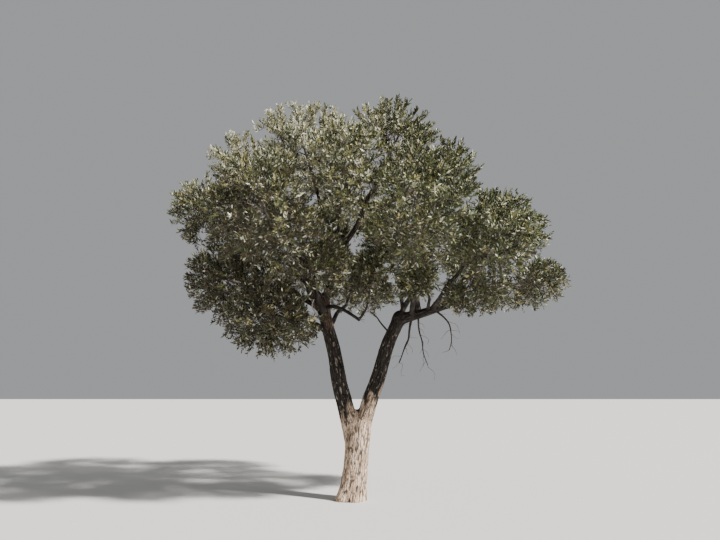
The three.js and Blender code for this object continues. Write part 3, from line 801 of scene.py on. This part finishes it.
def main_twigs(crown, own, stem, forward, rng):
    """The twigs that the solids have too: from the stem out towards even directions."""
    headings = even_headings(round(crown.surface(own) / TWIG.area), own)
    reach = crown.reach(own, headings)
    tips, room = crown.tips(own, headings, reach, TWIG.spray, TWIG.least_share)
    place = lerp(*TWIG.root_band, (1 + headings @ forward) / 2)
    roots = on_path(stem, np.linspace(0, 1, len(stem)), place)
    fits = room > TWIG.least_room
    return bowed(roots[fits], tips[fits], TWIG, rng)


def branchlets(crown, own, wood, rng):
    """Paths of the branchlets of a mass, each from the nearest wood to just short of its end, and
    which of them come out in the open."""
    rule = BRANCHLET
    count = round(FULLNESS.get(crown.names[own], 1.0) * crown.surface(own) / rule.area)
    headings = even_headings(count, rule.first_turn + own)
    headings = unit(headings + rng.normal(size=headings.shape) * rule.uneven)
    reach = crown.reach(own, headings)
    aims = crown.out(own, headings, reach * rule.root_depth)
    roots = wood[((aims[:, None] - wood) ** 2).sum(axis=2).argmin(axis=1)]
    tips, _ = crown.tips(own, headings, reach, rule.short_of_end)
    is_open = reach > rule.open_reach
    lit = is_open | (rng.uniform(size=len(reach)) < rule.shaded)
    fits = lit & (norm(tips - roots, axis=1) > rule.least_length)
    return bowed(roots[fits], tips[fits], rule, rng), is_open[fits]


def shoots_on(paths, are_open, rng):
    """Roots and tips of the shoots that leave the branchlets all round, and which of them show."""
    roots, tips, outer = [], [], []
    for k, (path, is_open) in enumerate(zip(paths, are_open)):
        along = lengths_along(path)
        count = int(np.clip(round(along[-1] * SHOOT.per_metre), SHOOT.fewest, SHOOT.most))
        share = np.linspace(SHOOT.first, 1, count)
        root = on_path(path, along / along[-1], share)
        forward, side, third = frames_along(path)
        row = (share * (len(path) - 1)).astype(int)
        across = turned(side[row], third[row], np.arange(count) * GOLDEN_TURN + k)
        spread = lerp(*SHOOT.spread, share) * rng.uniform(*SHOOT.spread_range, count)
        lift = lerp(*SHOOT.lift, ease(root[:, 2:], *SHOOT.lift_heights))
        heading = unit(turned(forward[row], across, spread) + lift * UP)
        length = lerp(*SHOOT.length, share) * rng.uniform(*SHOOT.length_range, count)
        roots.append(root)
        tips.append(root + heading * length[:, None])
        outer.append(is_open & (share > BRANCHLET.outer))
    return np.concatenate(roots), np.concatenate(tips), np.concatenate(outer)


def with_room(crown, own, roots, tips, outer, near_wood):
    """Shoots that stay in the space and clear of the limbs, shortened where that helps."""
    kept = np.zeros(len(roots), bool)
    for share in (1.0, SHOOT.shortened):
        ends = lerp(roots, tips, share)
        fits = ~kept & crown.free(ends + unit(tips - roots) * LEAF.past_tip, own)
        fits[fits] = ~near_wood(ends[fits])
        tips = np.where(fits[:, None], ends, tips)
        kept |= fits
    return roots[kept], tips[kept], outer[kept]


def leaf_places(paths, rng):
    """Pairs of leaves up the shoots, each pair turned a quarter from the last: for each leaf its root,
    the way it points, the way its face looks and its length."""
    rule, shoots, pairs = LEAF, len(paths), LEAF.pairs
    forward, side, third = frames_along(paths)
    share = np.linspace(rule.first, 1, pairs)
    at = share * (paths.shape[1] - 1)
    row = np.minimum(at.astype(int), paths.shape[1] - 2)
    roots = lerp(paths[:, row], paths[:, row + 1], (at - row)[None, :, None])
    turn = rng.uniform(0, 2 * math.pi, (shoots, 1)) + np.arange(pairs) * (math.pi / 2)
    across = turned(side[:, row], third[:, row], turn)
    both = np.stack((across, -across), axis=2)
    ahead = forward[:, row, None]
    angle = lerp(*rule.angle, share)[:, None] * rng.uniform(*rule.angle_range, (shoots, pairs, 1))
    roots = np.broadcast_to(roots[:, :, None], both.shape).reshape(-1, 3)
    heading = turned(ahead, both, angle).reshape(-1, 3)
    flat = turned(-both, ahead, angle).reshape(-1, 3)
    heading = unit(heading + rule.lift * UP + rng.normal(size=roots.shape) * rule.tumble / 2)
    flat += rng.normal(size=roots.shape) * rule.tumble
    spread = rng.normal(size=len(roots)).clip(-rule.length_limit, rule.length_limit)
    length = rule.length * (1 + rule.length_spread * spread)
    length *= np.tile(np.repeat(lerp(*rule.shrink, share), 2), shoots)
    return roots, heading, flat, length[:, None]


def leaves_on(paths, outline, rng):
    """Leaves with an outline on the shoots: corners and triangles."""
    roots, heading, flat, length = leaf_places(paths, rng)
    edge = unit(np.cross(heading, flat))
    face = np.cross(edge, heading)
    curl = LEAF.curl * rng.uniform(*LEAF.curl_range, len(roots))[:, None]

    def spot(part, half):
        drop = curl * length * part * part
        return roots + heading * length * part + edge * length * LEAF.width * half - face * drop

    rows = [spot(part, across) for part, half in outline for across in (half, -half)]
    corners = np.stack([spot(0, 0), *rows, spot(1, 0)], axis=1)
    last = len(rows) - 1
    one = [(0, 1, 2), (last, last + 2, last + 1)]
    for left in range(1, last, 2):
        one += [(left, left + 2, left + 3), (left, left + 3, left + 1)]
    triangles = np.array(one) + (len(rows) + 2) * np.arange(len(roots))[:, None, None]
    return corners.reshape(-1, 3), triangles.reshape(-1, 3)


def kinds_of(tips, rng):
    """Which kind each shoot's leaves are, by where it stands in the crown."""
    x, z = tips[:, 0], tips[:, 2]
    ragged = rng.normal(size=len(z)) * SILVER_AND_SUNLIT.ragged
    # The top left: silver undersides and painted sunlight. The lower left and the low parts: painted shade.
    sunlit_and_silver = ease(z + ragged, *SILVER_AND_SUNLIT.heights) * ease(x, *SILVER_AND_SUNLIT.across)
    left = ease(z, *PAINTED_SHADE.heights) * ease(x, *PAINTED_SHADE.across)
    dark_and_shade = np.maximum(left, PAINTED_SHADE.foot_share * ease(z, *PAINTED_SHADE.foot))
    shares = np.array([shares for _, shares in LEAF_KINDS.values()])
    chance = shares @ np.stack((np.ones(len(x)), sunlit_and_silver, dark_and_shade, ease(x, *GREEN_SIDE)))
    chance = np.maximum(chance, LEAST_CHANCE).cumsum(axis=0)
    return (rng.uniform(size=len(x)) * chance[-1] > chance).sum(axis=0)


def leaf_kinds(tips, rng):
    """Which kind each leaf is: that of its spray, but for some single ones."""
    per_spray = 2 * LEAF.pairs
    kinds = np.repeat(kinds_of(tips, rng), per_spray)
    single = kinds_of(np.repeat(tips, per_spray, axis=0), rng)
    kinds = np.where(rng.uniform(size=len(kinds)) < MIXED_LEAVES, single, kinds)
    silver = list(LEAF_KINDS).index("silver")
    return np.where(rng.uniform(size=len(kinds)) < TURNED_LEAVES, silver, kinds)


def make_mass(crown, own, bough, near_wood, bark_materials, leaf_materials):
    """The twigs and leaves of one mass, as two pieces."""
    name = crown.names[own]
    solid = ["foliage_" + name]
    rng = np.random.default_rng(SEED + own)
    stem, forward = stem_of(crown, own, bough)
    twigs = main_twigs(crown, own, stem, forward, rng)
    wood = np.concatenate((stem[2:], twigs[:, 2:].reshape(-1, 3)))
    paths, are_open = branchlets(crown, own, wood, rng)
    roots, tips, outer = with_room(crown, own, *shoots_on(paths, are_open, rng), near_wood)
    shoots = np.stack((roots, tips), axis=1)

    stem_radius = bough.radius_at(1.0)
    woody = [
        tapered(stem[None], (stem_radius, stem_radius * (1 - STEM.taper)), STEM.sides),
        tapered(twigs, TWIG.radius, TWIG.sides),
        tapered(paths, BRANCHLET.radius, BRANCHLET.sides),
    ]
    green = tapered(shoots, SHOOT.radius, SHOOT.sides)
    kinds = np.repeat((0, 1), (sum(len(triangles) for _, triangles in woody), len(green[1])))
    mesh = mesh_from("twigs_" + name, [*woody, green])
    add_piece("twigs_" + name, mesh, bark_materials, solid, kinds)

    bare = SHOOT.bare * ease(tips[:, 2], *SHOOT.bare_heights)
    leafy = rng.uniform(size=len(tips)) > bare
    parts, kinds = [], []
    for outline, chosen in ((OUTER_LEAF, leafy & outer), (INNER_LEAF, leafy & ~outer)):
        parts.append(leaves_on(shoots[chosen], outline, rng))
        kinds.append(np.repeat(leaf_kinds(tips[chosen], rng), 2 * len(outline)))
    mesh = mesh_from("leaves_" + name, parts)
    add_piece("leaves_" + name, mesh, leaf_materials, solid, np.concatenate(kinds))


# Materials


def enabled(sockets, name):
    return next(socket for socket in sockets if socket.name == name and socket.enabled)


class Surface:
    """A material, and the nodes that make its colour and its bumps."""

    def __init__(self, name, roughness, specular):
        self.material = bpy.data.materials.new(name)
        self.material.use_nodes = True
        self.tree = self.material.node_tree
        self.shader = self.tree.nodes["Principled BSDF"]
        self.feed(self.shader, {"Roughness": roughness, "Specular IOR Level": specular})

    def feed(self, node, values):
        """Sets inputs of a node, by name or number, or links them where the value is an output."""
        for key, value in values.items():
            socket = node.inputs[key] if isinstance(key, int) else enabled(node.inputs, key)
            if isinstance(value, bpy.types.NodeSocket):
                self.tree.links.new(value, socket)
            else:
                socket.default_value = value

    def node(self, kind, output, inputs, **settings):
        """Adds a node and gives one of its outputs."""
        node = self.tree.nodes.new("ShaderNode" + kind)
        for name, value in settings.items():
            setattr(node, name, value)
        self.feed(node, inputs)
        return enabled(node.outputs, output)

    def attribute(self, name, output="Fac"):
        return self.node("Attribute", output, {}, attribute_name=name)

    def ramp(self, source, *stops):
        """A colour ramp on a value."""
        color = self.node("ValToRGB", "Color", {"Fac": source})
        elements = color.node.color_ramp.elements
        while len(elements) < len(stops):
            elements.new(0.5)
        for element, (place, shade) in zip(elements, stops):
            element.position = place
            element.color = (*shade, 1)
        return color

    def mix(self, factor, a, b, blend="MIX"):
        inputs = {"Factor": factor, "A": a, "B": b}
        return self.node("Mix", "Result", inputs, data_type="RGBA", blend_type=blend)

    def darker(self, color, *shades):
        """A colour that each of the shades darkens."""
        for shade in shades:
            color = self.mix(1.0, color, shade, "MULTIPLY")
        return color

    def stretched(self, vector, scale):
        return self.node("Mapping", "Vector", {"Vector": vector, "Scale": scale})

    def noise(self, vector, scale, detail):
        """Noise drawn out along the limb."""
        inputs = {"Vector": self.stretched(vector, scale), "Scale": 1.0, "Detail": detail}
        return self.node("TexNoise", "Fac", inputs)

    def cracks(self, vector, scale, warp, warp_scale, warp_detail):
        """Distance from the nearest crack of a net that is drawn out along the limb."""
        wander = {"Vector": vector, "Scale": warp_scale, "Detail": warp_detail}
        shift = {0: self.node("TexNoise", "Color", wander), 1: (warp,) * 3, 2: vector}
        shifted = self.node("VectorMath", "Vector", shift, operation="MULTIPLY_ADD")
        inputs = {"Vector": self.stretched(shifted, scale), "Scale": 1.0}
        return self.node("TexVoronoi", "Distance", inputs, feature="DISTANCE_TO_EDGE")

    def finished(self, color, *bumps):
        """The material, with its colour and its bumps: each a height and its depth in metres."""
        normal = {}
        for height, depth in bumps:
            inputs = {"Height": height, "Distance": depth, "Strength": BUMP_STRENGTH, **normal}
            normal = {"Normal": self.node("Bump", "Normal", inputs)}
        self.feed(self.shader, {"Base Color": color, **normal})
        return self.material


def bark_material():
    """Pale, fibrous and fissured on the trunk, and dark with paler patches on the limbs. The fissures are
    darkened with painted shade; the limbs' dark is partly their own and partly painted shade of the crown,
    and up in that shade their patches are painted dark too.
    """
    bark = Surface("fissured_bark", 0.93, 0.2)
    grain, relief = bark.attribute("grain", "Vector"), bark.attribute("relief")
    fibres = bark.noise(grain, (170, 170, 18), 5)
    strands = bark.noise(grain, (60, 60, 7), 4)
    cracks = bark.cracks(grain, (66, 66, 5.5), warp=0.022, warp_scale=14.0, warp_detail=2.0)
    # Pale bark, darker down into the fissures: painted shade.
    pale_and_fissure_shade = bark.ramp(relief, (0, (0.11, 0.09, 0.076)), (0.3, (0.33, 0.27, 0.225)), (0.7, (0.95, 0.76, 0.6)))
    warm = bark.ramp(bark.noise(grain, (14, 14, 5), 5), (0.36, (0.8, 0.74, 0.68)), (0.62, WHITE))
    # Dark limb bark, darker down into the fissures: painted shade.
    dark_and_shade = bark.ramp(relief, (0, (0.014, 0.012, 0.011)), (0.8, (0.055, 0.048, 0.043)))
    lichen = bark.ramp(bark.noise(grain, (34, 34, 13), 5), (0.57, BLACK), (0.65, WHITE))
    # Pale lichen patches, painted dark up in the crown's shade.
    lichen_dark_in_shade = bark.mix(bark.attribute("patchy"), (0.05, 0.044, 0.04, 1), (0.36, 0.32, 0.275, 1))
    wood = bark.ramp(strands, (0.3, (0.06, 0.043, 0.033)), (0.7, (0.23, 0.165, 0.13)))
    streaks = bark.ramp(strands, (0.3, (0.6, 0.56, 0.53)), (0.54, WHITE))
    lines = bark.ramp(cracks, (0.02, (0.27, 0.24, 0.22)), (0.13, WHITE))
    threads = bark.ramp(fibres, (0.38, (0.62, 0.58, 0.55)), (0.56, WHITE))
    # The pale trunk gives way to the limbs' dark, which is partly painted shade of the crown.
    color = bark.mix(bark.attribute("tone"), bark.darker(pale_and_fissure_shade, warm), bark.mix(lichen, dark_and_shade, lichen_dark_in_shade))
    color = bark.darker(bark.mix(bark.attribute("peeled"), color, wood), streaks, lines, threads)
    return bark.finished(color, (fibres, 0.003), (strands, 0.006), (cracks, 0.012))


def shaded_young_bark_material():
    """Dark, partly its own colour and partly painted shade of the crown over these boughs, with fine ridges,
    fissures darkened with painted shade and a few pale patches.
    """
    bark = Surface("young_bark", 0.88, 0.25)
    grain = bark.attribute("grain", "Vector")
    fibres = bark.noise(grain, (260, 260, 30), 4)
    # Darker down into the fissures, and dark overall under the crown: painted shade.
    dark_and_shade = bark.ramp(bark.attribute("relief"), (0, (0.014, 0.011, 0.01)), (0.8, (0.036, 0.03, 0.026)))
    lichen = bark.ramp(bark.noise(grain, (30, 30, 9), 4), (0.6, BLACK), (0.7, WHITE))
    return bark.finished(bark.mix(lichen, dark_and_shade, (0.13, 0.113, 0.096, 1)), (fibres, 0.002))


def plain_material(name, color, roughness, specular, ridge_scale, depth):
    """A plain colour with a fine uneven surface, for twigs and leaves."""
    plain = Surface(name, roughness, specular)
    place = plain.node("TexCoord", "Object", {})
    ridges = plain.noise(place, (ridge_scale,) * 3, RIDGE_DETAIL)
    return plain.finished((*color, 1), (ridges, depth))


# The floor, the light and the camera


def make_stage():
    half = STUDIO.size / 2
    corners = half * np.array(((-1, -1, 0), (1, -1, 0), (1, 1, 0), (-1, 1, 0)))
    floor = placed("floor", mesh_from("floor", [(corners, np.array(((0, 1, 2), (0, 2, 3))))]))
    floor.data.materials.append(Surface("floor", 0.9, 0.2).finished(STUDIO.floor))

    world = bpy.data.worlds.new("studio")
    world.use_nodes = True
    background = world.node_tree.nodes["Background"]
    background.inputs["Color"].default_value = STUDIO.backdrop
    background.inputs["Strength"].default_value = STUDIO.strength
    bpy.context.scene.world = world


def make_key_light():
    light = bpy.data.lights.new("key", "SUN")
    light.energy = KEY.energy
    light.angle = KEY.angle
    light.color = KEY.color
    placed("key", light).rotation_euler = (math.pi / 2 - KEY.height, 0, KEY.heading)


def make_camera():
    data = bpy.data.cameras.new("camera")
    data.sensor_width = CAMERA.sensor
    data.lens = CAMERA.lens
    camera = placed("camera", data)
    camera.location = CAMERA.place
    camera.rotation_euler = (math.pi / 2 + CAMERA.pitch, 0, 0)
    bpy.context.scene.camera = camera


# The whole tree

crown = Crown(MASSES)
limbs, carriers = grow_limbs(crown)
thick = [limb for limb in limbs.values() if limb.radius_at(COLLAR_LENGTH * 2) > BARK.thick]
thin = [limb for limb in limbs.values() if limb not in thick]
plain = {name: plain_material(name, *rule) for name, rule in PLAIN.items()}
make_bark(thick, bark_material())
make_branches(thin, [shaded_young_bark_material(), plain["dead_wood"]])

twig_materials = [plain["twig_bark"], plain["shoot_bark"]]
leaf_materials = [
    plain_material("leaf_" + kind, color, *LEAF_FINISH) for kind, (color, _) in LEAF_KINDS.items()
]
near_wood = wood_test(limbs.values())
for own, mass in enumerate(crown.names):
    make_mass(crown, own, carriers[mass], near_wood, twig_materials, leaf_materials)

make_stage()
make_key_light()
make_camera()
